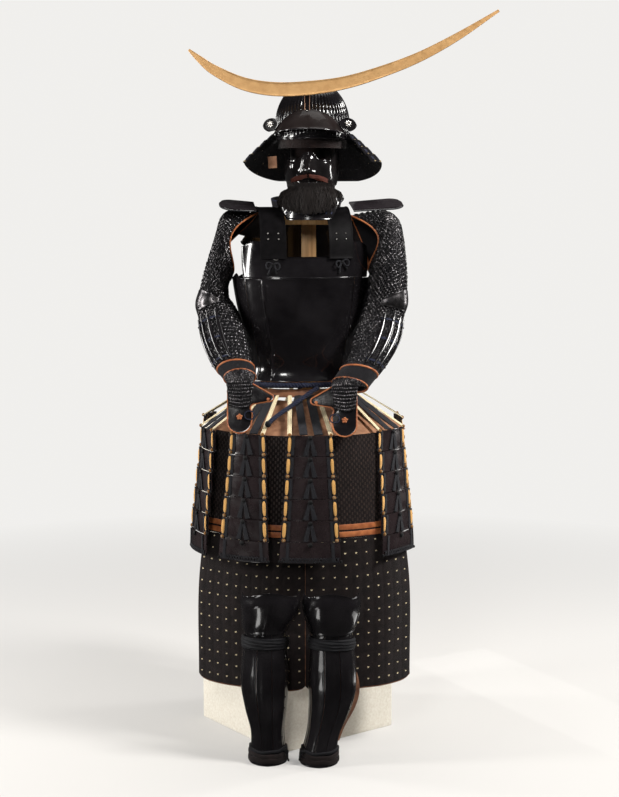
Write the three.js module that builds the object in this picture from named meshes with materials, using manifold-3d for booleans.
// A samurai armour on its display stand: helmet with a crescent fore-crest, face mask, five-plate
// cuirass, mail sleeves, nine laced tassets, thigh guard and a pair of shin guards, on a covered plinth.
// Millimetres, +Z up, front towards -Y. Left and right are the wearer's: left is +X.
import * as THREE from "three";
import { mergeVertices } from "three/addons/utils/BufferGeometryUtils.js";
import Module from "manifold-3d";

const wasm = await Module();
wasm.setup();

// ---------------------------------------------------------------- driving dimensions
const SEAM_GAP = 0.6; // clearance between pieces that meet
const PLATE = 2.6; // lacquered plate
const CLOTH = 2.4; // sleeve and thigh-guard cloth

const PLINTH = { side: 385, height: 850, x: -36, y: 15, yaw: 36.6 };
const POST = { x: -2, y: 22, width: 40, depth: 28, top: 1500 };
const SHOULDER_BAR = { span: 226, height: 36, depth: 24, z: 1418 };
const HEAD_BLOCK = { radius: 60, bottom: 1500.6, top: 1766, dome: 70 };

const TORSO = { x: -22, yaw: 8, power: 2.5, hinge: 38, seamZ: 1261 };
// Half width and half depth of the cuirass at each height.
const TORSO_SECTIONS = [
  { z: 985, a: 154, b: 121 },
  { z: 1004, a: 145, b: 113 },
  { z: 1060, a: 151, b: 117 },
  { z: 1130, a: 165, b: 123 },
  { z: 1200, a: 180, b: 129 },
  { z: 1261, a: 188, b: 132 },
  { z: 1320, a: 184, b: 129 },
  { z: 1365, a: 176, b: 123 },
  { z: 1402, a: 166, b: 112 },
];

const HELMET = {
  x: 8, y: 0, yaw: -6, baseZ: 1626, domeZ: 1660, crownZ: 1783, a: 100, b: 119, power: 2.1, hole: 11,
};
const NECK_GUARD = {
  lames: 4, from: 64, topZ: 1640, sideZ: 1566, backZ: 1518, a0: 108, b0: 127, a1: 172, b1: 188,
};
const CREST = { y: -150, thick: 5 };
const MASK = { a: 74, b: 94, y: -8, chinZ: 1490, browZ: 1592 };

const TASSET = { lames: 6, topZ: 864, bottomZ: 534, step: 5, flare: 36, bow: 9 };
// The thigh guard hangs in a curve of its own in front of the plinth: reach is its half width at the top,
// the knee and the hem of its flare, depth its half depth, and x, y the middle of the curve.
const THIGH_GUARD = { x: -11, y: 110, depth: 385, topZ: 860, bandZ: 588, hemZ: 180 };
const THIGH_REACH = [
  { z: 860, reach: 322 },
  { z: 780, reach: 336 },
  { z: 588, reach: 368 },
  { z: 480, reach: 386 },
  { z: 180, reach: 393 },
];
const SHIN = { topZ: 352, bottomZ: 0, kneeZ: 352.9, kneeTopZ: 470 };

// ---------------------------------------------------------------- colours
function finish(color, roughness, metalness = 0) {
  return new THREE.MeshStandardMaterial({ color, roughness, metalness });
}

const LACQUER = finish(0x0d0b0c, 0.16);
const MAIL = finish(0x16151a, 0.5, 0.5);
const NAVY = finish(0x12141f, 0.8);
const GILT = finish(0xb98a52, 0.42, 0.35);
const LEATHER = finish(0xb4632f, 0.6);
const HAIR = finish(0x6b3a24, 0.9);
const LINEN = finish(0xe4ddd0, 0.95);
const WOOD = finish(0xcf9d63, 0.55);
const DARK_CLOTH = finish(0x1c1413, 0.9);
const LINING = finish(0x4a2018, 0.9);

// ---------------------------------------------------------------- helpers
const { degToRad, lerp, clamp, smoothstep } = THREE.MathUtils;
const vec = (x, y, z) => new THREE.Vector3(x, y, z);
const signedPower = (v, p) => Math.sign(v) * Math.abs(v) ** p;
const steps = (count) => Array.from({ length: count + 1 }, (_, i) => i / count);
const root = new THREE.Group();

function flatPlate(outline, depth) {
  return new THREE.ExtrudeGeometry(outline, { depth, bevelEnabled: false, curveSegments: 5 });
}

function addNode(name, geometry, material, parent = root) {
  const mesh = new THREE.Mesh(geometry, material);
  mesh.name = name;
  parent.add(mesh);
  return mesh;
}

// Linear reading of a table of rows by one of its columns.
function readTable(rows, key, value) {
  const rising = rows[0][key] < rows[rows.length - 1][key];
  const t = rising ? value : -value;
  let i = 0;
  while (i < rows.length - 2 && t > (rising ? rows[i + 1][key] : -rows[i + 1][key])) i += 1;
  const share = clamp((value - rows[i][key]) / (rows[i + 1][key] - rows[i][key]), 0, 1);
  const row = {};
  for (const k of Object.keys(rows[i])) row[k] = lerp(rows[i][k], rows[i + 1][k], share);
  return row;
}

// A closed wall over a grid of points. The grid is one face and the other lies `wall` away along each
// point's normal, or along push(point) where that is given. A looped grid joins its last column to its first.
function wallGeometry(grid, wall, { loop = false, push = null } = {}) {
  const rows = grid.length;
  const cols = grid[0].length;
  const col = (j) => (loop ? (j + cols) % cols : clamp(j, 0, cols - 1));
  const row = (i) => clamp(i, 0, rows - 1);
  const other = grid.map((line, i) =>
    line.map((p, j) => {
      if (push) return p.clone().addScaledVector(push(p, i, j), wall);
      const along = grid[row(i + 1)][j].clone().sub(grid[row(i - 1)][j]);
      const across = grid[i][col(j + 1)].clone().sub(grid[i][col(j - 1)]);
      return p.clone().addScaledVector(across.cross(along).normalize(), wall);
    })
  );
  const points = [...grid.flat(), ...other.flat()];
  const near = (i, j) => i * cols + col(j);
  const far = (i, j) => rows * cols + near(i, j);
  const index = [];
  const quad = (a, b, c, d) => index.push(a, b, c, a, c, d);
  const spans = loop ? cols : cols - 1;
  for (let i = 0; i < rows - 1; i += 1)
    for (let j = 0; j < spans; j += 1) {
      quad(near(i, j), near(i, j + 1), near(i + 1, j + 1), near(i + 1, j));
      quad(far(i, j), far(i + 1, j), far(i + 1, j + 1), far(i, j + 1));
    }
  for (let j = 0; j < spans; j += 1) {
    quad(near(0, j), far(0, j), far(0, j + 1), near(0, j + 1));
    quad(near(rows - 1, j), near(rows - 1, j + 1), far(rows - 1, j + 1), far(rows - 1, j));
  }
  if (!loop)
    for (let i = 0; i < rows - 1; i += 1) {
      quad(near(i, 0), near(i + 1, 0), far(i + 1, 0), far(i, 0));
      quad(near(i, cols - 1), far(i, cols - 1), far(i + 1, cols - 1), near(i + 1, cols - 1));
    }
  return facingOut(points, index);
}

// A geometry whose faces point out, whichever way round the triangles were given.
function facingOut(points, index) {
  let volume = 0;
  for (let i = 0; i < index.length; i += 3) {
    const [a, b, c] = [points[index[i]], points[index[i + 1]], points[index[i + 2]]];
    volume += a.dot(b.clone().cross(c));
  }
  if (volume < 0) {
    for (let i = 0; i < index.length; i += 3) [index[i], index[i + 1]] = [index[i + 1], index[i]];
  }
  const geometry = new THREE.BufferGeometry().setFromPoints(points);
  geometry.setIndex(index);
  return geometry;
}

// A solid tube along a path, with flat ends.
function rodGeometry(path, radius, sides = 8, squash = 1) {
  const rings = path.map((p, i) => {
    const along = path[Math.min(i + 1, path.length - 1)].clone().sub(path[Math.max(i - 1, 0)]).normalize();
    const side = Math.abs(along.z) > 0.9 ? vec(1, 0, 0) : vec(0, 0, 1);
    const u = side.cross(along).normalize();
    const v = along.clone().cross(u);
    return Array.from({ length: sides }, (_, k) => {
      const angle = (2 * Math.PI * k) / sides;
      return p
        .clone()
        .addScaledVector(u, radius * Math.cos(angle))
        .addScaledVector(v, radius * squash * Math.sin(angle));
    });
  });
  const points = [...rings.flat(), path[0].clone(), path[path.length - 1].clone()];
  const index = [];
  for (let i = 0; i < rings.length - 1; i += 1)
    for (let k = 0; k < sides; k += 1) {
      const [a, b] = [i * sides + k, i * sides + ((k + 1) % sides)];
      index.push(a, b, b + sides, a, b + sides, a + sides);
    }
  const start = rings.length * sides;
  const last = (rings.length - 1) * sides;
  for (let k = 0; k < sides; k += 1) {
    index.push(start, (k + 1) % sides, k);
    index.push(start + 1, last + k, last + ((k + 1) % sides));
  }
  return facingOut(points, index);
}

// A closed ring-shaped rod.
function hoopGeometry(path, radius, sides = 8) {
  const n = path.length;
  const rings = path.map((p, i) => {
    const along = path[(i + 1) % n].clone().sub(path[(i + n - 1) % n]).normalize();
    const u = vec(0, 0, 1).cross(along).normalize();
    const v = along.clone().cross(u);
    return Array.from({ length: sides }, (_, k) => {
      const angle = (2 * Math.PI * k) / sides;
      return p
        .clone()
        .addScaledVector(u, radius * Math.cos(angle))
        .addScaledVector(v, radius * Math.sin(angle));
    });
  });
  const index = [];
  for (let i = 0; i < n; i += 1)
    for (let k = 0; k < sides; k += 1) {
      const [a, b] = [i * sides + k, i * sides + ((k + 1) % sides)];
      const [c, d] = [((i + 1) % n) * sides + k, ((i + 1) % n) * sides + ((k + 1) % sides)];
      index.push(a, b, d, a, d, c);
    }
  return facingOut(rings.flat(), index);
}

function toSolid(geometry) {
  const position = geometry.getAttribute("position").clone();
  const bare = new THREE.BufferGeometry().setAttribute("position", position);
  if (geometry.index) bare.setIndex(geometry.index.clone());
  const merged = mergeVertices(bare, 1e-4);
  const mesh = new wasm.Mesh({
    numProp: 3,
    vertProperties: new Float32Array(merged.attributes.position.array),
    triVerts: new Uint32Array(merged.index.array),
  });
  return new wasm.Manifold(mesh);
}

function toGeometry(solid) {
  const mesh = solid.getMesh();
  const geometry = new THREE.BufferGeometry();
  geometry.setAttribute("position", new THREE.BufferAttribute(new Float32Array(mesh.vertProperties), 3));
  geometry.setIndex(new THREE.BufferAttribute(new Uint32Array(mesh.triVerts), 1));
  return geometry;
}

const joined = (geometries) => toGeometry(geometries.map(toSolid).reduce((sum, solid) => sum.add(solid)));

// ---------------------------------------------------------------- the stand
function buildStand() {
  const box = new THREE.BoxGeometry(PLINTH.side, PLINTH.side, PLINTH.height);
  const plinth = addNode("plinth", box, LINEN);
  plinth.position.set(PLINTH.x, PLINTH.y, PLINTH.height / 2);
  plinth.rotation.z = degToRad(PLINTH.yaw);

  const postBottom = PLINTH.height + SEAM_GAP;
  const postTop = POST.top;
  const post = new THREE.BoxGeometry(POST.width, POST.depth, postTop - postBottom);
  addNode("stand_post", post, WOOD).position.set(POST.x, POST.y, (postTop + postBottom) / 2);

  const bar = new THREE.BoxGeometry(SHOULDER_BAR.span, SHOULDER_BAR.depth, SHOULDER_BAR.height);
  const barY = POST.y - (POST.depth + SHOULDER_BAR.depth) / 2 - SEAM_GAP;
  addNode("stand_shoulder_bar", bar, WOOD).position.set(TORSO.x, barY, SHOULDER_BAR.z);

  const { radius, dome } = HEAD_BLOCK;
  const profile = [new THREE.Vector2(0, HEAD_BLOCK.bottom), new THREE.Vector2(radius * 0.8, HEAD_BLOCK.bottom)];
  profile.push(new THREE.Vector2(radius, HEAD_BLOCK.bottom + 26));
  for (const t of steps(4)) {
    const angle = (t * Math.PI) / 2;
    const r = t === 1 ? 0 : radius * Math.cos(angle);
    profile.push(new THREE.Vector2(r, HEAD_BLOCK.top - dome + dome * Math.sin(angle)));
  }
  const block = new THREE.LatheGeometry(profile, 16);
  block.rotateX(Math.PI / 2);
  addNode("stand_head_block", block, LINING).position.set(HELMET.x, HELMET.y + 10, 0);
}

// ---------------------------------------------------------------- cuirass
const torsoGroup = new THREE.Group();
torsoGroup.position.set(TORSO.x, 0, 0);
torsoGroup.rotation.z = degToRad(TORSO.yaw);
root.add(torsoGroup);

// A point of the torso form: turn 0 is the front, 90 the wearer's left; grow pushes it out.
function torsoPoint(turn, z, grow = 0) {
  const { a, b } = readTable(TORSO_SECTIONS, "z", z);
  const [s, c] = [Math.sin(degToRad(turn)), Math.cos(degToRad(turn))];
  const p = 2 / TORSO.power;
  return vec((a + grow) * signedPower(s, p), -(b + grow) * signedPower(c, p), z);
}

// A plate of the cuirass between two turns; lean widens it towards its top edge, above the share leanFrom.
function torsoPlate(name, from, to, bottom, top, { across = 6, up = 6, lean = 0, leanFrom = 0 } = {}) {
  const grid = steps(up).map((v) =>
    steps(across).map((u) => {
      const wider = (lean * Math.max(v - leanFrom, 0)) / (1 - leanFrom);
      const turn = lerp(from - wider, to + wider, u);
      return torsoPoint(turn, lerp(bottom(turn), top(turn), v));
    })
  );
  addNode(name, wallGeometry(grid, -PLATE), LACQUER, torsoGroup);
}

function buildCuirass() {
  const { hinge, seamZ } = TORSO;
  const bottom = () => TORSO_SECTIONS[0].z;
  const belowSeam = () => seamZ - SEAM_GAP;
  const hingeGap = 0.5;
  // The chest plate's top edge: low under the chin, up beside the straps, then down to the arm.
  const neckline = (turn) => {
    const t = Math.abs(turn);
    return 1316 + 42 * smoothstep(t, 16, 42) - 14 * smoothstep(t, 50, 66);
  };
  // The side plates' top edge: under the chest plate's corner, up to a peak and down under the arm.
  const armhole = (turn) => {
    const t = Math.abs(turn);
    const fall = 20 * Math.sin(degToRad(clamp((t - 74) * 2.7, 0, 180)));
    return seamZ - SEAM_GAP + 12 * smoothstep(t, 66, 74) - fall;
  };
  torsoPlate("chest_plate", -59, 59, () => seamZ + SEAM_GAP, neckline, { across: 16, up: 3, lean: 8 });
  torsoPlate("front_plate", -hinge + 4, hinge, bottom, belowSeam, { across: 8 });
  torsoPlate("side_plate_left", hinge + hingeGap, 180 - hinge - hingeGap, bottom, armhole, { across: 11 });
  torsoPlate("side_plate_right_front", -56, -hinge + 4 - hingeGap, bottom, belowSeam, { across: 3 });
  const rightBack = { across: 10 };
  torsoPlate("side_plate_right_back", -180 + hinge + hingeGap, -56 - hingeGap, bottom, armhole, rightBack);
  const backTop = (turn) => 1400 - 46 * smoothstep(Math.abs(turn - 180), 40, 60);
  const shoulders = { across: 10, up: 10, lean: 22, leanFrom: 0.8 };
  torsoPlate("back_plate", 180 - hinge, 180 + hinge, bottom, backTop, shoulders);

  // Shoulder straps: from the chest plate over the shoulder to the back plate.
  const STRAP = { inner: 57, outer: 124, thick: 5 };
  const strapRows = [
    { z: 1312, depth: -135.5 },
    { z: 1365, depth: -129 },
    { z: 1402, depth: -109 },
    { z: 1430, depth: -76 },
    { z: 1446, depth: -30 },
    { z: 1446, depth: 36 },
    { z: 1430, depth: 80 },
    { z: 1404, depth: 113 },
  ];
  for (const [side, sign] of [["left", 1], ["right", -1]]) {
    const grid = strapRows.map(({ z, depth }) =>
      steps(4).map((u) => {
        const x = lerp(STRAP.inner, STRAP.outer, u);
        const widest = readTable(TORSO_SECTIONS, "z", Math.min(z, 1365)).a + 6;
        const y = depth * (1 - (x / widest) ** TORSO.power) ** (1 / TORSO.power);
        return vec(sign * x, y, z);
      })
    );
    addNode(`strap_${side}`, wallGeometry(grid, -sign * STRAP.thick), LACQUER, torsoGroup);
  }

  // Standing collar round the back of the neck, open in front.
  const COLLAR = { from: 64, x: 14, y: 4, a: 88, b: 88, bottom: 1447, top: 1468, rise: 10, lean: 4, wall: 4 };
  const collar = steps(2).map((v) =>
    steps(14).map((u) => {
      const angle = degToRad(lerp(COLLAR.from, 360 - COLLAR.from, u));
      const grow = COLLAR.lean * v;
      const z = lerp(COLLAR.bottom, COLLAR.top - COLLAR.rise * Math.cos(angle), v);
      const x = COLLAR.x + (COLLAR.a + grow) * Math.sin(angle);
      return vec(x, COLLAR.y - (COLLAR.b + grow) * Math.cos(angle), z);
    })
  );
  addNode("collar", wallGeometry(collar, COLLAR.wall), DARK_CLOTH, torsoGroup);

  // Small shoulder wings, flat plates that stand out level from the straps.
  const WING = { depth: 92, thick: 5, corner: 34, y: -8, z: 1443, pitch: 15, rise: 4 };
  const wings = [
    { side: "left", sign: 1, x: 136, length: 140 },
    { side: "right", sign: -1, x: 128, length: 95 },
  ];
  for (const { side, sign, x, length } of wings) {
    const outline = new THREE.Shape();
    const half = WING.depth / 2;
    outline.moveTo(0, -half + 6);
    outline.lineTo(length - WING.corner, -half);
    outline.absarc(length - WING.corner, -half + WING.corner, WING.corner, -Math.PI / 2, 0, false);
    outline.absarc(length - WING.corner, half - WING.corner, WING.corner, 0, Math.PI / 2, false);
    outline.lineTo(0, half - 6);
    const plate = flatPlate(outline, WING.thick);
    const wing = addNode(`shoulder_wing_${side}`, plate, LACQUER, torsoGroup);
    wing.position.set(sign * x, WING.y, WING.z);
    wing.rotation.order = "ZYX";
    wing.rotation.set(degToRad(sign * WING.pitch), degToRad(-WING.rise), sign > 0 ? 0 : Math.PI);
  }
}

// ---------------------------------------------------------------- waist cord and tasset laces
const BELT = { z: 974.5, radius: 8.5, grow: -3 };

function buildBelt() {
  const count = 32;
  const path = Array.from({ length: count }, (_, i) => {
    const p = torsoPoint((360 * i) / count, TORSO_SECTIONS[0].z, BELT.grow);
    return p.setZ(BELT.z);
  });
  addNode("waist_cord", hoopGeometry(path, BELT.radius, 6), NAVY, torsoGroup);

  // The free end of the waist cord, from the knot in front down over the wearer's right.
  const tail = [
    { x: 22, y: -143, z: 970 },
    { x: 4, y: -155, z: 961 },
    { x: -16, y: -169, z: 948 },
    { x: -36, y: -184, z: 936 },
    { x: -56, y: -200, z: 924 },
    { x: -76, y: -218, z: 912 },
    { x: -94, y: -238, z: 901 },
    { x: -108, y: -258, z: 890 },
  ];
  addNode("cord_tail", rodGeometry(tail.map(({ x, y, z }) => vec(x, y, z)), 6.5), NAVY);
}

// ---------------------------------------------------------------- tassets
// Each tasset hangs with its top edge centred at x, y and faces `turn` degrees from the front.
const TASSETS = [
  { name: "front", x: 2, y: -290, turn: 0, top: 116, bottom: 162 },
  { name: "front_right", x: -163, y: -264, turn: -24, top: 98, bottom: 146 },
  { name: "side_right", x: -277, y: -160, turn: -68, top: 100, bottom: 132 },
  { name: "back_side_right", x: -290, y: 132, turn: -104, top: 98, bottom: 130 },
  { name: "back_right", x: -206, y: 250, turn: -143, top: 104, bottom: 148 },
  { name: "back", x: -18, y: 318, turn: 180, top: 116, bottom: 160 },
  { name: "back_left", x: 158, y: 240, turn: 143, top: 104, bottom: 148 },
  { name: "side_left", x: 256, y: 84, turn: 96, top: 100, bottom: 132 },
  { name: "front_left", x: 220, y: -173, turn: 51, top: 114, bottom: 142 },
];

// Unit vectors of a piece that faces `turn` degrees from the front: outwards and to its own left.
function facing(turn) {
  const angle = degToRad(turn);
  return { out: vec(Math.sin(angle), -Math.cos(angle), 0), side: vec(Math.cos(angle), Math.sin(angle), 0) };
}

function buildTasset(tasset) {
  const { out, side } = facing(tasset.turn);
  const fall = TASSET.topZ - TASSET.bottomZ;
  const rows = [];
  for (let k = 0; k < TASSET.lames; k += 1) {
    const [upper, lower] = [k / TASSET.lames, (k + 1) / TASSET.lames];
    const proud = k * TASSET.step;
    rows.push({ share: upper, proud }, { share: lower - 0.006, proud: proud + 1 });
  }
  const grid = rows.map(({ share, proud }) => {
    const width = lerp(tasset.top, tasset.bottom, share);
    const flare = (TASSET.flare - TASSET.step * TASSET.lames) * share;
    return steps(4).map((u) => {
      const across = (u - 0.5) * width;
      const bow = -TASSET.bow * (2 * u - 1) ** 2;
      return vec(tasset.x, tasset.y, TASSET.topZ - fall * share)
        .addScaledVector(side, across)
        .addScaledVector(out, proud + flare + bow);
    });
  });
  const inwards = out.clone().negate();
  addNode(`tasset_${tasset.name}`, wallGeometry(grid, PLATE + 1, { push: () => inwards.clone() }), LACQUER);
}

// Three lace bands run from the leather strip under the cuirass to each tasset, all joined as one piece:
// a narrow one to each edge and a wide one to the middle. place is in half widths of the spread.
const LACE_EDGE = 9;
const LACE_FAN = 20;
const LACE_BANDS = [
  { place: -0.5, width: 9 },
  { place: 0, width: 24 },
  { place: 0.5, width: 9 },
];

function buildLaces() {
  const wall = 3;
  const strip = [
    { z: 964, grow: -6 },
    { z: 954, grow: 2 },
    { z: 946, grow: 12 },
  ].map(({ z, grow }) =>
    Array.from({ length: 30 }, (_, i) => torsoPoint(12 * i, TORSO_SECTIONS[0].z, grow - 4).setZ(z))
  );
  torsoGroup.updateMatrixWorld(true);
  const inWorld = strip.map((line) => line.map((p) => p.applyMatrix4(torsoGroup.matrixWorld)));
  const pieces = [wallGeometry(inWorld, wall, { loop: true, push: () => vec(0, 0, -1) })];
  const centre = vec(TORSO.x, 0, 0);
  for (const tasset of TASSETS) {
    const { out, side } = facing(tasset.turn);
    const end = vec(tasset.x, tasset.y, TASSET.topZ + SEAM_GAP + wall).addScaledVector(out, -2);
    const away = end.clone().sub(centre).setZ(0).normalize();
    const turn = THREE.MathUtils.radToDeg(Math.atan2(away.x, -away.y)) - TORSO.yaw;
    for (const { place, width } of LACE_BANDS) {
      const root0 = torsoPoint(turn + LACE_FAN * place, TORSO_SECTIONS[0].z, 0).setZ(951);
      const start = root0.applyMatrix4(torsoGroup.matrixWorld);
      const stop = end.clone().addScaledVector(side, (tasset.top - LACE_EDGE) * place);
      const grid = steps(1).map((v) =>
        [-0.5, 0.5].map((u) => start.clone().lerp(stop, v).addScaledVector(side, width * u))
      );
      pieces.push(wallGeometry(grid, wall, { push: () => vec(0, 0, -1) }));
    }
  }
  addNode("tasset_laces", joined(pieces), NAVY);
}

// ---------------------------------------------------------------- thigh guard
// A point of the thigh guard's curve: turn 0 is the front, positive to the wearer's left.
function thighPoint(turn, z, grow = 0) {
  const { reach } = readTable(THIGH_REACH, "z", z);
  const angle = degToRad(turn);
  const x = THIGH_GUARD.x + (reach + grow) * Math.sin(angle);
  return vec(x, THIGH_GUARD.y - (THIGH_GUARD.depth + grow) * Math.cos(angle), z);
}

const THIGH_PANELS = [
  { side: "left", from: 0.4, to: 45.6 },
  { side: "right", from: -47, to: -0.4 },
];

function buildThighGuard() {
  // Leather yoke that carries the two panels: from their top edge it slopes up and in under the laces.
  const YOKE = { half: 58, thick: 2.4 };
  const slope = [
    { grow: -4, z: PLINTH.height + 2 },
    { grow: -58, z: 880 },
    { grow: -122, z: 912 },
    { grow: -150, z: 930 },
  ];
  const yoke = slope.map(({ grow, z }) =>
    steps(14).map((u) => thighPoint(lerp(-YOKE.half, YOKE.half, u), THIGH_GUARD.topZ, grow).setZ(z))
  );
  addNode("thigh_yoke", wallGeometry(yoke, YOKE.thick, { push: () => vec(0, 0, 1) }), LEATHER);

  for (const { side, from, to } of THIGH_PANELS) {
    const panel = (topZ, bottomZ, rows) =>
      wallGeometry(
        steps(rows).map((v) => steps(10).map((u) => thighPoint(lerp(from, to, u), lerp(topZ, bottomZ, v)))),
        CLOTH
      );
    addNode(`thigh_cloth_${side}`, panel(THIGH_GUARD.topZ, THIGH_GUARD.bandZ, 4), DARK_CLOTH);
    addNode(`thigh_plates_${side}`, panel(THIGH_GUARD.bandZ - SEAM_GAP, THIGH_GUARD.hemZ, 4), DARK_CLOTH);
  }
}

// ---------------------------------------------------------------- sleeves
// Each ring of a sleeve is given by its outer and inner edge, how far forward it is and its half depth.
// scoop moves its front and back outwards, which curves the edge of the armhole. The front is cut away
// most above the middle and the back below it; BACK_SCOOP is how deep the back is cut on each side.
const SCOOP_LIFT = 0.8;
const BACK_SCOOP = { right: 1, left: 0.1 };
const SLEEVE_RINGS = {
  right: [
    { outerX: -140, outerZ: 1432, innerX: -207, innerZ: 1270, y: -24, depth: 48, scoop: 42 },
    { outerX: -212, outerZ: 1438, innerX: -212, innerZ: 1256, y: -26, depth: 55, scoop: 16 },
    { outerX: -239, outerZ: 1418, innerX: -218, innerZ: 1246, y: -28, depth: 57, scoop: 0 },
    { outerX: -253, outerZ: 1374, innerX: -221, innerZ: 1236, y: -28, depth: 57, scoop: 0 },
    { outerX: -271, outerZ: 1318, innerX: -221, innerZ: 1224, y: -28, depth: 55, scoop: 0 },
    { outerX: -291, outerZ: 1250, innerX: -219, innerZ: 1204, y: -28, depth: 52, scoop: 0 },
    { outerX: -303, outerZ: 1186, innerX: -204, innerZ: 1180, y: -36, depth: 50, scoop: 0 },
    { outerX: -297, outerZ: 1142, innerX: -186, innerZ: 1148, y: -60, depth: 48, scoop: 0 },
    { outerX: -285, outerZ: 1092, innerX: -166, innerZ: 1102, y: -104, depth: 43, scoop: 0 },
    { outerX: -260, outerZ: 1044, innerX: -153, innerZ: 1054, y: -154, depth: 37, scoop: 0 },
    { outerX: -222, outerZ: 1002, innerX: -144, innerZ: 1008, y: -204, depth: 32, scoop: 0 },
  ],
  left: [
    { outerX: 110, outerZ: 1426, innerX: 160, innerZ: 1276, y: -36, depth: 48, scoop: 52 },
    { outerX: 196, outerZ: 1438, innerX: 166, innerZ: 1262, y: -40, depth: 55, scoop: 18 },
    { outerX: 235, outerZ: 1418, innerX: 167, innerZ: 1250, y: -44, depth: 57, scoop: 0 },
    { outerX: 250, outerZ: 1374, innerX: 162, innerZ: 1238, y: -50, depth: 57, scoop: 0 },
    { outerX: 258, outerZ: 1318, innerX: 156, innerZ: 1226, y: -56, depth: 54, scoop: 0 },
    { outerX: 262, outerZ: 1250, innerX: 150, innerZ: 1206, y: -60, depth: 51, scoop: 0 },
    { outerX: 259, outerZ: 1190, innerX: 145, innerZ: 1180, y: -66, depth: 49, scoop: 0 },
    { outerX: 250, outerZ: 1144, innerX: 135, innerZ: 1148, y: -80, depth: 47, scoop: 0 },
    { outerX: 238, outerZ: 1092, innerX: 118, innerZ: 1102, y: -116, depth: 42, scoop: 0 },
    { outerX: 204, outerZ: 1040, innerX: 103, innerZ: 1054, y: -160, depth: 37, scoop: 0 },
    { outerX: 150, outerZ: 978, innerX: 62, innerZ: 996, y: -212, depth: 32, scoop: 0 },
  ],
};

// Centre, half-width vector and half-depth vector of each ring.
function sleeveFrames(side) {
  const rings = SLEEVE_RINGS[side].map((r) => ({
    centre: vec((r.outerX + r.innerX) / 2, r.y, (r.outerZ + r.innerZ) / 2),
    wide: vec((r.outerX - r.innerX) / 2, 0, (r.outerZ - r.innerZ) / 2),
    depth: r.depth,
    scoop: vec(Math.sign(r.outerX) * r.scoop, 0, 0),
    backScoop: BACK_SCOOP[side],
  }));
  return rings.map((ring, i) => {
    const [before, after] = [rings[Math.max(i - 1, 0)], rings[Math.min(i + 1, rings.length - 1)]];
    const along = after.centre.clone().sub(before.centre);
    const deep = along.normalize().cross(ring.wide.clone().normalize()).normalize();
    if (deep.y < 0) deep.negate();
    return { ...ring, deep: deep.multiplyScalar(ring.depth) };
  });
}

// A point of the sleeve: share 0 at the shoulder, 1 at the wrist; turn 0 is outside, -90 in front.
function sleevePoint(frames, share, turn, grow = 0) {
  const at = share * (frames.length - 1);
  const i = Math.min(Math.floor(at), frames.length - 2);
  const t = at - i;
  const centre = frames[i].centre.clone().lerp(frames[i + 1].centre, t);
  const wide = frames[i].wide.clone().lerp(frames[i + 1].wide, t);
  const deep = frames[i].deep.clone().lerp(frames[i + 1].deep, t);
  const scoop = frames[i].scoop.clone().lerp(frames[i + 1].scoop, t);
  const angle = degToRad(turn);
  const [c, s] = [Math.cos(angle), Math.sin(angle)];
  const cutAway = s < 0 ? 1 + SCOOP_LIFT * c : frames[i].backScoop * (1 - c);
  const [w, d] = [wide.length(), deep.length()];
  return centre
    .addScaledVector(wide, (c * (w + grow)) / w)
    .addScaledVector(deep, (s * (d + grow)) / d)
    .addScaledVector(scoop, s ** 2 * cutAway);
}

// The way out of the sleeve at a point near it: away from the closest part of its middle line.
function sleeveOutwards(frames, point) {
  let closest = null;
  for (let i = 0; i < frames.length - 1; i += 1) {
    const middle = new THREE.Line3(frames[i].centre, frames[i + 1].centre);
    const foot = middle.closestPointToPoint(point, true, vec(0, 0, 0));
    if (!closest || foot.distanceTo(point) < closest.distanceTo(point)) closest = foot;
  }
  return point.clone().sub(closest).normalize();
}

// The back of the hand: a plate with a rounded end and a pointed lobe for the thumb, in its own plane.
const HAND = {
  half: 31, length: 130, end: 29, thumbX: 88, thumbZ: -38, tip: 9, root: -56, thick: 3, tilt: -14,
};

function handShape() {
  const shape = new THREE.Shape();
  shape.moveTo(-HAND.half, 0);
  shape.lineTo(-HAND.half, -HAND.length + HAND.end);
  shape.absellipse(0, -HAND.length + HAND.end, HAND.half, HAND.end, Math.PI, 2 * Math.PI, false);
  shape.quadraticCurveTo(HAND.half + 5, HAND.root - 24, HAND.half - 3, HAND.root - 10);
  shape.quadraticCurveTo(HAND.half - 4, HAND.root + 2, HAND.half + 14, HAND.root + 4);
  shape.lineTo(HAND.thumbX - HAND.tip, HAND.thumbZ - HAND.tip);
  shape.absarc(HAND.thumbX - HAND.tip, HAND.thumbZ, HAND.tip, -Math.PI / 2, Math.PI / 3, false);
  shape.lineTo(HAND.half, 0);
  return shape;
}

const HANDS = {
  right: { x: -181, y: -246, z: 995, thumb: 1 },
  left: { x: 91, y: -252, z: 987, thumb: -1 },
};

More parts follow.
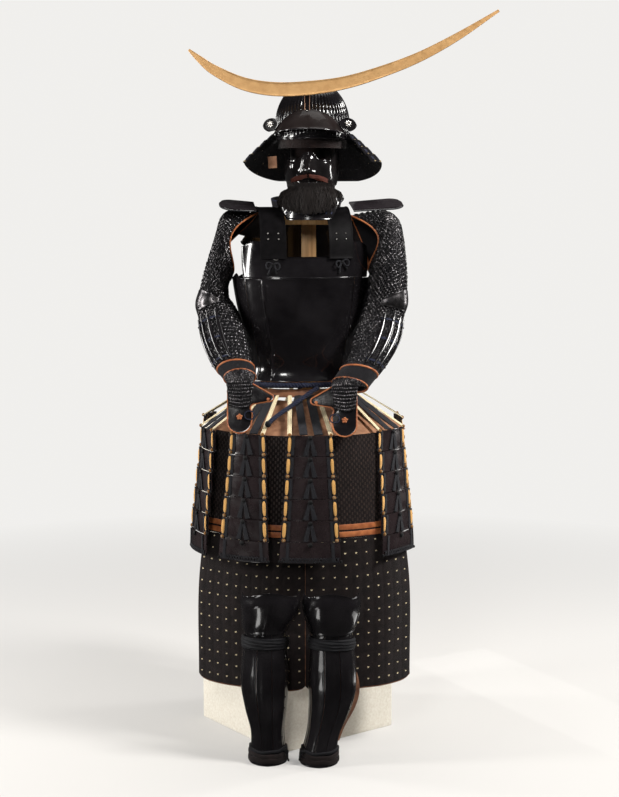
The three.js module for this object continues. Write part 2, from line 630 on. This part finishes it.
function buildSleeves() {
  for (const [side, sign] of [["left", 1], ["right", -1]]) {
    const frames = sleeveFrames(side);
    const around = 14;
    const grid = steps(frames.length - 1).map((share) =>
      Array.from({ length: around }, (_, k) => sleevePoint(frames, share, (360 * k) / around))
    );
    const outwards = (p) => sleeveOutwards(frames, p);
    addNode(`sleeve_${side}`, wallGeometry(grid, -CLOTH, { loop: true, push: outwards }), MAIL);

    // Elbow plate over the outside and front of the bend.
    const elbow = steps(4).map((v) =>
      steps(5).map((u) => {
        const turn = lerp(-100, 40, u);
        const bulge = 5 * Math.sin(Math.PI * u) * Math.sin(Math.PI * v);
        const half = 0.012 + 0.05 * Math.sin(Math.PI * lerp(0.08, 0.92, u));
        return sleevePoint(frames, lerp(0.6 - half, 0.6 + half, v), turn, 2 + bulge);
      })
    );
    addNode(`elbow_plate_${side}`, wallGeometry(elbow, 1.6, { push: outwards }), LACQUER);

    // Splints along the outside of the forearm, tied across by two straps.
    const SPLINTS = { count: 5, from: 66, to: -78, width: 13, top: 0.7, bottom: 0.96 };
    const pieces = [];
    const strip = (turnOf, spanOf, rows, cols, grow) =>
      wallGeometry(
        steps(rows).map((v) => steps(cols).map((u) => sleevePoint(frames, spanOf(v), turnOf(u), grow))),
        2.2,
        { push: outwards }
      );
    for (const s of steps(SPLINTS.count - 1)) {
      const middle = lerp(SPLINTS.from, SPLINTS.to, s);
      const turnOf = (u) => middle + (u - 0.5) * SPLINTS.width;
      pieces.push(strip(turnOf, (v) => lerp(SPLINTS.top, SPLINTS.bottom, v), 5, 1, 2.8));
    }
    for (const share of [0.73, 0.92]) {
      const turnOf = (u) => lerp(SPLINTS.from, SPLINTS.to, u);
      pieces.push(strip(turnOf, (v) => share + 0.02 * v, 1, 10, 1.6));
    }
    addNode(`forearm_splints_${side}`, joined(pieces), LACQUER);

    const hand = HANDS[side];
    const plate = flatPlate(handShape(), HAND.thick);
    plate.rotateX(Math.PI / 2);
    if (hand.thumb < 0) mirrorX(plate);
    const mesh = addNode(`hand_plate_${side}`, plate, LACQUER);
    mesh.position.set(hand.x, hand.y, hand.z);
    mesh.rotation.set(degToRad(HAND.tilt), 0, 0);
  }
}

function mirrorX(geometry) {
  geometry.scale(-1, 1, 1);
  const position = geometry.getAttribute("position");
  const held = vec(0, 0, 0);
  const first = vec(0, 0, 0);
  for (let i = 0; i < position.count; i += 3) {
    first.fromBufferAttribute(position, i);
    held.fromBufferAttribute(position, i + 1);
    position.setXYZ(i, held.x, held.y, held.z);
    position.setXYZ(i + 1, first.x, first.y, first.z);
  }
}

// ---------------------------------------------------------------- helmet
const helmetGroup = new THREE.Group();
helmetGroup.position.set(HELMET.x, HELMET.y, 0);
helmetGroup.rotation.z = degToRad(HELMET.yaw);
root.add(helmetGroup);

function bowlPoint(turn, z, grow = 0) {
  const angle = degToRad(turn);
  const rise = clamp((z - HELMET.domeZ) / (HELMET.crownZ - HELMET.domeZ), 0, 1);
  const size = z <= HELMET.domeZ ? 1 : (1 - rise ** HELMET.power) ** (1 / HELMET.power);
  const x = (HELMET.a * size + grow) * Math.sin(angle);
  const y = -(HELMET.b * size + grow) * Math.cos(angle);
  return vec(x, y, z);
}

function domeGrid(bottomZ, grow, around, rows) {
  const grid = [Array.from({ length: around }, (_, k) => bowlPoint((360 * k) / around, bottomZ, grow))];
  const last = Math.acos((HELMET.hole / HELMET.a) ** (HELMET.power / 2));
  for (const t of steps(rows)) {
    const angle = t * last;
    const z = HELMET.domeZ + (HELMET.crownZ - HELMET.domeZ) * Math.sin(angle) ** (2 / HELMET.power);
    grid.push(Array.from({ length: around }, (_, k) => bowlPoint((360 * k) / around, z, grow)));
  }
  return grid;
}

function buildHelmet() {
  const bowl = domeGrid(HELMET.baseZ, 0, 24, 5);
  addNode("helmet_bowl", wallGeometry(bowl, -PLATE, { loop: true }), LACQUER, helmetGroup);
  const LINING_INSET = 7;
  const lining = domeGrid(HELMET.baseZ - 16, -LINING_INSET, 16, 3).map((line) =>
    line.map((p) => p.setZ(p.z - LINING_INSET))
  );
  addNode("helmet_lining", wallGeometry(lining, -CLOTH, { loop: true }), LINING, helmetGroup);

  // Visor: springs from the bowl's front in an arch and slopes forward and down.
  const VISOR = { span: 58, archZ: 1702, endZ: 1652, edgeZ: 1650, edgeEndZ: 1634, reach: 44, endReach: 16 };
  const visor = steps(4).map((v) =>
    steps(12).map((u) => {
      const turn = lerp(-VISOR.span, VISOR.span, u);
      const side = (2 * u - 1) ** 2;
      const root0 = bowlPoint(turn, lerp(VISOR.archZ, VISOR.endZ, side), 2.4);
      const reach = lerp(VISOR.reach, VISOR.endReach, side);
      const edge = bowlPoint(turn, HELMET.domeZ, reach).setZ(lerp(VISOR.edgeZ, VISOR.edgeEndZ, side));
      const p = root0.clone().lerp(edge, v);
      return p.setZ(p.z + 5 * Math.sin(Math.PI * v));
    })
  );
  addNode("visor", wallGeometry(visor, 2.2), LACQUER, helmetGroup);

  // Neck guard: flared lames, each lying outside the one above.
  const guard = NECK_GUARD;
  for (let k = 0; k < guard.lames; k += 1) {
    const [from, to] = [k / guard.lames - (k ? 0.035 : 0), (k + 1) / guard.lames];
    const grid = steps(1).map((v) =>
      steps(16).map((u) => {
        const turn = lerp(guard.from, 360 - guard.from, u);
        const t = lerp(from, to, v);
        const [s, c] = [Math.sin(degToRad(turn)), Math.cos(degToRad(turn))];
        const rimZ = lerp(guard.backZ, guard.sideZ, clamp(1 - 1.25 * Math.max(-c, 0), 0, 1) ** 1.2);
        const out = 4.4 * k;
        const x = (lerp(guard.a0, guard.a1, t ** 0.92) + out) * s;
        const y = -(lerp(guard.b0, guard.b1, t ** 0.92) + out) * c;
        return vec(x, y, lerp(guard.topZ, rimZ, t));
      })
    );
    addNode(`neck_guard_${k + 1}`, wallGeometry(grid, -2.2), LACQUER, helmetGroup);
  }

  // Turned-back wings at the front corners of the neck guard.
  const WING = { width: 50, height: 34, stem: 20, thick: 3, y: -96, z: 1647, yaw: 24, roll: 10 };
  for (const [side, sign, x] of [["left", 1, 100], ["right", -1, 97]]) {
    const petal = new THREE.Shape();
    petal.moveTo(-WING.stem / 2, 0);
    petal.lineTo(WING.stem / 2, 0);
    petal.quadraticCurveTo(WING.width / 2, 8, WING.width / 2, WING.height * 0.55);
    petal.quadraticCurveTo(WING.width * 0.36, WING.height, 0, WING.height);
    petal.quadraticCurveTo(-WING.width * 0.36, WING.height, -WING.width / 2, WING.height * 0.55);
    petal.quadraticCurveTo(-WING.width / 2, 8, -WING.stem / 2, 0);
    const plate = flatPlate(petal, WING.thick);
    plate.rotateX(Math.PI / 2);
    const wing = addNode(`helmet_wing_${side}`, plate, LACQUER, helmetGroup);
    wing.position.set(sign * x, WING.y, WING.z);
    wing.rotation.set(0, degToRad(sign * WING.roll), degToRad(sign * WING.yaw));
  }
}

// The crescent: its middle line from the wearer's right tip to the left tip, with its width across.
const CRESCENT = [
  { x: -312, z: 1852, width: 6 },
  { x: -284, z: 1828, width: 17 },
  { x: -246, z: 1800, width: 26 },
  { x: -172, z: 1766, width: 33 },
  { x: -90, z: 1752, width: 36 },
  { x: 0, z: 1755, width: 36 },
  { x: 90, z: 1768, width: 33 },
  { x: 180, z: 1794, width: 30 },
  { x: 280, z: 1832, width: 26 },
  { x: 380, z: 1884, width: 20 },
  { x: 488, z: 1951, width: 7 },
];

function buildCrest() {
  const line = new THREE.CatmullRomCurve3(CRESCENT.map(({ x, z }) => vec(x, CREST.y, z)));
  const count = 30;
  const grid = steps(count).map((t) => {
    const at = t * (CRESCENT.length - 1);
    const i = Math.min(Math.floor(at), CRESCENT.length - 2);
    const half = lerp(CRESCENT[i].width, CRESCENT[i + 1].width, at - i) / 2;
    const along = line.getTangent(t);
    const up = vec(-along.z, 0, along.x);
    const p = line.getPoint(t);
    return [-1, 1].map((s) => p.clone().addScaledVector(up, s * half));
  });
  addNode("fore_crest", wallGeometry(grid, CREST.thick, { push: () => vec(0, -1, 0) }), GILT);

  // Flat stem that carries the crescent, from the visor's middle up the front of the bowl.
  const stem = [
    { y: -132, z: 1700 },
    { y: -137, z: 1722 },
    { y: -142, z: 1744 },
    { y: -147.5, z: 1764 },
  ].map(({ y, z }) => [-6, 6].map((x) => vec(x - 6, y, z)));
  addNode("crest_stem", wallGeometry(stem, 3, { push: () => vec(0, 1, 0) }), LACQUER);
}

// ---------------------------------------------------------------- face mask
// Cheeks, nose and chin as soft bumps on a rounded wall; bump(...) is one of them.
const bump = (turn, z, at, height, spreadTurn, spreadZ) =>
  height * Math.exp(-(((turn - at.turn) / spreadTurn) ** 2) - ((z - at.z) / spreadZ) ** 2);

function maskPoint(turn, z) {
  const angle = degToRad(turn);
  let grow = bump(turn, z, { turn: 0, z: 1552 }, 22, 9, 26);
  grow += bump(turn, z, { turn: 0, z: 1543 }, 9, 13, 10);
  grow += bump(Math.abs(turn), z, { turn: 38, z: 1556 }, 8, 18, 20);
  grow += bump(turn, z, { turn: 0, z: 1498 }, 9, 22, 15);
  grow -= bump(turn, z, { turn: 0, z: 1519 }, 6, 20, 6);
  const low = smoothstep(1540 - z, 0, 60);
  const a = MASK.a - 12 * low;
  return vec((a + grow) * Math.sin(angle), MASK.y - (MASK.b - 10 * low + grow) * Math.cos(angle), z);
}

function buildMask() {
  const top = (turn) => {
    const t = Math.abs(turn);
    return MASK.browZ - 20 * smoothstep(t, 6, 24) + 24 * smoothstep(t, 44, 80);
  };
  const bottom = (turn) => MASK.chinZ + 16 * smoothstep(Math.abs(turn), 24, 82);
  const grid = steps(9).map((v) =>
    steps(16).map((u) => {
      const turn = lerp(-84, 84, u);
      return maskPoint(turn, lerp(bottom(turn), top(turn), v));
    })
  );
  addNode("face_mask", wallGeometry(grid, -PLATE), LACQUER, helmetGroup);

  // Throat guard: three lames that hang from the chin, each outside the one above.
  const THROAT = { lames: 3, topZ: 1486, bottomZ: 1414, a: 80, b: 94, grow: 7 };
  const rows = [];
  for (let k = 0; k < THROAT.lames; k += 1) {
    rows.push({ share: k / THROAT.lames, grow: THROAT.grow * k });
    rows.push({ share: (k + 1) / THROAT.lames - 0.01, grow: THROAT.grow * k + 3 });
  }
  const throat = rows.map(({ share, grow }) =>
    steps(10).map((u) => {
      const angle = degToRad(lerp(-1, 1, u) * lerp(72, 36, share));
      const x = (THROAT.a + grow) * Math.sin(angle);
      const y = MASK.y - (THROAT.b + grow) * Math.cos(angle);
      return vec(x, y, lerp(THROAT.topZ, THROAT.bottomZ, share));
    })
  );
  const inwards = (p) => vec(-p.x, MASK.y - p.y, 0).normalize();
  addNode("throat_guard", wallGeometry(throat, PLATE, { push: inwards }), LACQUER, helmetGroup);

  // Moustache and beard: the plain form of their reach, on the mask down to its chin and then over
  // the throat guard. half is the turn each row reaches to, and reach its distance out from the guard.
  const WHISKERS = [
    { z: 1529, half: 32 },
    { z: 1518, half: 42 },
    { z: 1506, half: 54 },
    { z: 1494, half: 60 },
    { z: 1488, half: 59, reach: 4 },
    { z: 1476, half: 58, reach: 10 },
    { z: 1452, half: 46, reach: 18 },
    { z: 1430, half: 38, reach: 24 },
  ];
  const HAIR_SIZE = { clear: 5, thick: 5 };
  const hairs = WHISKERS.map(({ z, half, reach }) =>
    steps(14).map((u) => {
      const angle = degToRad(lerp(-half, half, u));
      if (reach === undefined) {
        const away = vec(Math.sin(angle), -Math.cos(angle), 0);
        return maskPoint(lerp(-half, half, u), z).addScaledVector(away, HAIR_SIZE.clear);
      }
      const x = (THROAT.a + reach) * Math.sin(angle);
      return vec(x, MASK.y - (THROAT.b + reach) * Math.cos(angle), z);
    })
  );
  const outwards = (p) => vec(p.x, p.y - MASK.y, 0).normalize();
  addNode("whiskers", wallGeometry(hairs, HAIR_SIZE.thick, { push: outwards }), HAIR, helmetGroup);
}

// ---------------------------------------------------------------- shin guards
// Half width, half depth and middle of each shin section.
const SHIN_SECTIONS = [
  { z: 0, a: 50, b: 52, dx: 0 },
  { z: 30, a: 46, b: 48, dx: 0 },
  { z: 78, a: 44, b: 46, dx: -2 },
  { z: 140, a: 55, b: 52, dx: -6 },
  { z: 215, a: 64, b: 58, dx: -9 },
  { z: 290, a: 60, b: 55, dx: -8 },
  { z: 352, a: 55, b: 50, dx: -6 },
];
const SHINS = {
  right: { x: -109, y: -318, sign: 1, kneeX: 14, kneeGrow: 3, footX: 0 },
  left: { x: 51, y: -330, sign: -1, kneeX: 0, kneeGrow: 0, footX: -26 },
};

function shinPoint(side, turn, z, grow = 0) {
  const { a, b, dx } = readTable(SHIN_SECTIONS, "z", Math.min(z, SHIN.topZ));
  const angle = degToRad(turn);
  const place = SHINS[side];
  return vec(
    place.x + place.sign * dx + place.footX * (1 - smoothstep(z, 0, 190)) + (a + grow) * Math.sin(angle),
    place.y + 20 - (b + grow) * Math.cos(angle),
    z
  );
}

function buildShinGuards() {
  for (const side of ["left", "right"]) {
    const reach = 104;
    const shin = steps(7).map((v) =>
      steps(12).map((u) => shinPoint(side, lerp(-reach, reach, u), lerp(SHIN.bottomZ, SHIN.topZ, v)))
    );
    addNode(`shin_guard_${side}`, wallGeometry(shin, -PLATE), LACQUER);

    // Knee guard: widens upwards, leaning inwards, to a top edge with a low point beside the middle.
    const KNEE = { crest: 8, flare: 19, lip: 5 };
    const { kneeX, kneeGrow } = SHINS[side];
    const knee = steps(4).map((v) =>
      steps(10).map((u) => {
        const turn = lerp(-82, 82, u);
        const crest = KNEE.crest * Math.cos(degToRad(3 * turn));
        const z = lerp(SHIN.kneeZ, SHIN.kneeTopZ - 10 + crest, v);
        const opened = Math.sin((Math.PI / 2) * Math.min(v * 1.25, 1));
        const grow = 3 + (KNEE.flare + kneeGrow) * opened - KNEE.lip * smoothstep(v, 0.7, 1);
        const p = shinPoint(side, turn, z, grow);
        return p.setX(p.x + kneeX * smoothstep(v, 0, 0.6));
      })
    );
    addNode(`knee_guard_${side}`, wallGeometry(knee, -PLATE), LACQUER);

    // Cloth tie round the guard just under the knee.
    const TIE = { reach: 98, bottomZ: 322, topZ: 342, clear: 1.2, swell: 4 };
    const tie = steps(2).map((v) =>
      steps(12).map((u) => {
        const grow = TIE.clear + TIE.swell * Math.sin(Math.PI * v);
        return shinPoint(side, lerp(-TIE.reach, TIE.reach, u), lerp(TIE.bottomZ, TIE.topZ, v), grow);
      })
    );
    addNode(`shin_tie_${side}`, wallGeometry(tie, 3), NAVY);
  }
}

buildStand();
buildCuirass();
buildBelt();
TASSETS.forEach(buildTasset);
buildLaces();
buildThighGuard();
buildSleeves();
buildHelmet();
buildCrest();
buildMask();
buildShinGuards();

export default root;
